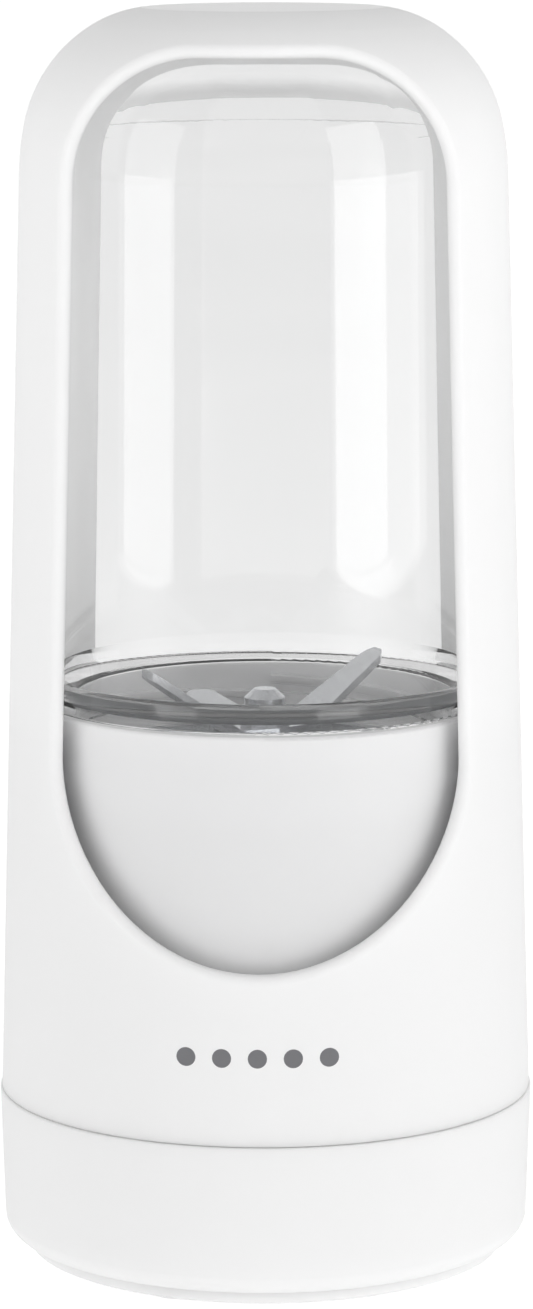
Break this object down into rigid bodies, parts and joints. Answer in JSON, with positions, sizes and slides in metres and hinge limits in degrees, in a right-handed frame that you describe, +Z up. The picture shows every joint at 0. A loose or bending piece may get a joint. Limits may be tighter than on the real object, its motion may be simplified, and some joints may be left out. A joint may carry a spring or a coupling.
{
  "type": "personal blender",
  "caption": "Cordless countertop blender: clear inverted jar screwed on a battery motor base, inside a tapering white sleeve with a tall window front and back.",
  "frame": {"origin": "centre of the underside, on the surface that the foot rests on", "axes": "+Z up along the motor shaft and the jar; the front window faces -Y, the button and the charging port face +Y"},
  "size_m": [0.0872, 0.0872, 0.202],
  "materials": {
    "sleeve_white": "satin moulded",
    "foot_white": "satin moulded",
    "housing_white": "fine satin",
    "jar_clear": "clear polished",
    "lamp_clear": "clear",
    "silicone_white": "matte",
    "silicone_grey": "matte",
    "blade_steel": "ground",
    "shaft_steel": "ground",
    "screw_steel": "zinc plated",
    "magnet_nickel": "nickel plated",
    "magnet_ferrite": "sintered",
    "copper": "enamelled copper",
    "bronze": "sintered",
    "carbon": "graphite",
    "frame_plastic": "moulded",
    "ring_plastic": "moulded",
    "cell_wrap": "shrink wrap",
    "board_green": "solder mask",
    "socket_steel": "nickel plated",
    "wire_red": "extruded"
  },
  "bodies": {
    "base": {"foot_shell": "foot_white", "bottom_plate": "foot_white", "foot_pad": "silicone_white", "bottom_screws": "screw_steel", "base_magnets": "magnet_nickel", "hall_sensor": "frame_plastic", "motor_housing": "housing_white", "housing_screws": "screw_steel", "control_board": "board_green", "board_parts": "frame_plastic", "board_screws": "screw_steel", "usb_socket": "socket_steel", "switch_board": "board_green", "power_switch": "frame_plastic", "status_lamp": "lamp_clear", "light_guide": "lamp_clear", "switch_ribbon": "wire_red", "battery_cells": "cell_wrap", "battery_tabs": "bronze", "battery_cradle": "frame_plastic", "balance_lead": "wire_red", "motor_leads": "wire_red", "motor_can": "shaft_steel", "motor_magnets": "magnet_ferrite", "motor_end_cap": "frame_plastic", "motor_bushings": "bronze", "motor_brushes": "carbon", "brush_arms": "bronze", "motor_terminals": "bronze", "motor_damper": "silicone_grey", "motor_screws": "screw_steel", "blade_seat": "blade_steel", "shaft_seal": "silicone_grey"},
    "blades": {"motor_shaft": "shaft_steel", "armature_core": "shaft_steel", "armature_windings": "copper", "commutator": "copper", "blade_hub": "blade_steel", "lower_blade": "blade_steel", "upper_blade": "blade_steel", "blade_nut": "blade_steel"},
    "gasket": {"jar_gasket": "silicone_grey"},
    "jar": {"jar": "jar_clear"},
    "sleeve": {"sleeve": "sleeve_white", "sleeve_guide_ring": "ring_plastic", "sleeve_magnets": "magnet_nickel"},
    "button": {"power_button": "foot_white", "switch_plunger": "frame_plastic"},
    "flap": {"port_flap": "silicone_white"}
  },
  "joints": [
    {"name": "blade_spin", "type": "hinge", "parent": "base", "child": "blades", "pos_m": [0, 0, 0.084], "axis": [0, 0, 1], "continuous": true},
    {"name": "jar_turn", "type": "hinge", "parent": "base", "child": "gasket", "pos_m": [0, 0, 0.08], "axis": [0, 0, 1], "range_deg": [0, 720]},
    {"name": "jar_lift", "type": "slide", "parent": "gasket", "child": "jar", "axis": [0, 0, 1], "range_m": [0, 0.024]},
    {"name": "sleeve_lift", "type": "slide", "parent": "jar", "child": "sleeve", "axis": [0, 0, 1], "range_m": [0, 0.18]},
    {"name": "button_press", "type": "slide", "parent": "base", "child": "button", "axis": [0, -1, 0], "range_m": [0, 0.0006], "stiffness_N_per_m": 300, "springref_m": -0.0005},
    {"name": "port_flap_hinge", "type": "hinge", "parent": "base", "child": "flap", "pos_m": [0, 0.0429, 0.00685], "axis": [-1, 0, 0], "range_deg": [0, 105], "stiffness_Nm_per_rad": 0.002, "springref_deg": -20.05}
  ],
  "couplings": [
    {"joint": "jar_lift", "follows": "jar_turn", "m_per_rad": 0.0019099}
  ]
}
